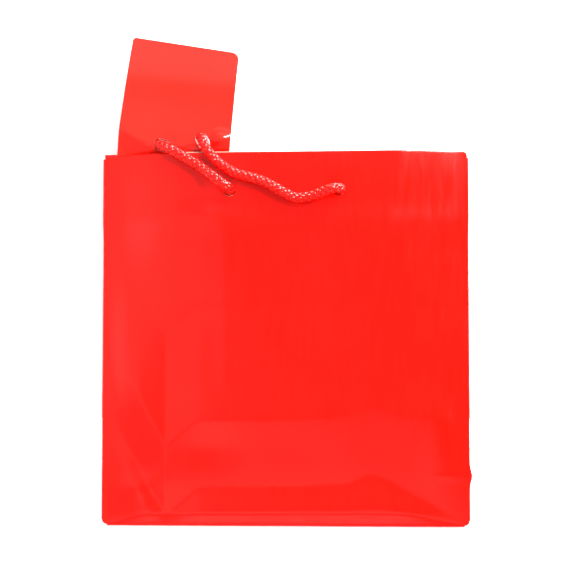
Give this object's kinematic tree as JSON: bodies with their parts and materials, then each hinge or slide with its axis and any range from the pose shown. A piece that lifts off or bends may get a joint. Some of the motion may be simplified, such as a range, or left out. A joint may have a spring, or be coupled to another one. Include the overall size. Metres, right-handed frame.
{
  "type": "gift bag",
  "caption": "Flat-folding paper gift bag with gusseted sides, a fold-up bottom, a rope handle over its rim and a gift tag threaded on the rope.",
  "frame": {"origin": "middle of the bottom's outer face, which lies on the surface while the bag is folded flat on its back", "axes": "+X along the width, +Y up the bag's height towards the rim, +Z out of the front panel"},
  "size_m": [0.2, 0.2671, 0.0225],
  "materials": {
    "red_laminated_paper": "high gloss film laminate",
    "grey_board": "uncoated",
    "red_rope": "shiny braided polypropylene",
    "red_tag_card": "high gloss film laminate"
  },
  "bodies": {
    "back": {"back_panel": "red_laminated_paper", "back_turn_in": "red_laminated_paper", "back_strip": "grey_board", "seam_tab": "red_laminated_paper"},
    "foot": {"back_foot": "red_laminated_paper"},
    "bottom": {"bottom_back_flap": "red_laminated_paper", "bottom_front_flap": "red_laminated_paper", "bottom_left_flap": "red_laminated_paper", "bottom_right_flap": "red_laminated_paper", "bottom_board": "grey_board"},
    "left_rear": {"left_gusset_rear": "red_laminated_paper", "left_gusset_rear_turn_in": "red_laminated_paper"},
    "left_fore": {"left_gusset_fore": "red_laminated_paper", "left_gusset_fore_turn_in": "red_laminated_paper"},
    "right_rear": {"right_gusset_rear": "red_laminated_paper", "right_gusset_rear_turn_in": "red_laminated_paper"},
    "right_fore": {"right_gusset_fore": "red_laminated_paper", "right_gusset_fore_turn_in": "red_laminated_paper"},
    "front": {"front_panel": "red_laminated_paper", "front_turn_in": "red_laminated_paper", "front_strip": "grey_board", "handle_rope": "red_rope", "left_knot": "red_rope", "right_knot": "red_rope"},
    "tag": {"gift_tag": "red_tag_card"}
  },
  "joints": [
    {"name": "opening_fold", "type": "hinge", "parent": "back", "child": "left_rear", "pos_m": [-0.1, 0, 0.00287], "axis": [0, -1, 0], "range_deg": [0, 90]},
    {"name": "left_crease", "type": "hinge", "parent": "left_rear", "child": "left_fore", "pos_m": [-0.043, 0, 0.00352], "axis": [0, -1, 0], "range_deg": [-180, 0]},
    {"name": "left_front_fold", "type": "hinge", "parent": "left_fore", "child": "front", "pos_m": [-0.1, 0, 0.00417], "axis": [0, -1, 0], "range_deg": [0, 90]},
    {"name": "right_back_fold", "type": "hinge", "parent": "back", "child": "right_rear", "pos_m": [0.1, 0, 0.00287], "axis": [0, 1, 0], "range_deg": [0, 90]},
    {"name": "right_crease", "type": "hinge", "parent": "right_rear", "child": "right_fore", "pos_m": [0.043, 0, 0.00352], "axis": [0, 1, 0], "range_deg": [-180, 0]},
    {"name": "foot_crease", "type": "hinge", "parent": "back", "child": "foot", "pos_m": [0, 0, 0.00172], "axis": [-1, 0, 0], "range_deg": [0, 180]},
    {"name": "bottom_fold", "type": "hinge", "parent": "foot", "child": "bottom", "pos_m": [0, 0.057, 0.00133], "axis": [1, 0, 0], "range_deg": [0, 90]},
    {"name": "tag_tilt", "type": "hinge", "parent": "front", "child": "tag", "pos_m": [-0.094, 0.1463, 0.00425], "axis": [0.9898, -0.1426, 0], "range_deg": [0, 4]}
  ],
  "couplings": [
    {"joint": "left_crease", "follows": "opening_fold", "ratio": -2},
    {"joint": "left_front_fold", "follows": "opening_fold", "ratio": 1},
    {"joint": "right_back_fold", "follows": "opening_fold", "ratio": 1},
    {"joint": "right_crease", "follows": "opening_fold", "ratio": -2},
    {"joint": "foot_crease", "follows": "opening_fold", "ratio": 2},
    {"joint": "bottom_fold", "follows": "opening_fold", "ratio": 1}
  ]
}
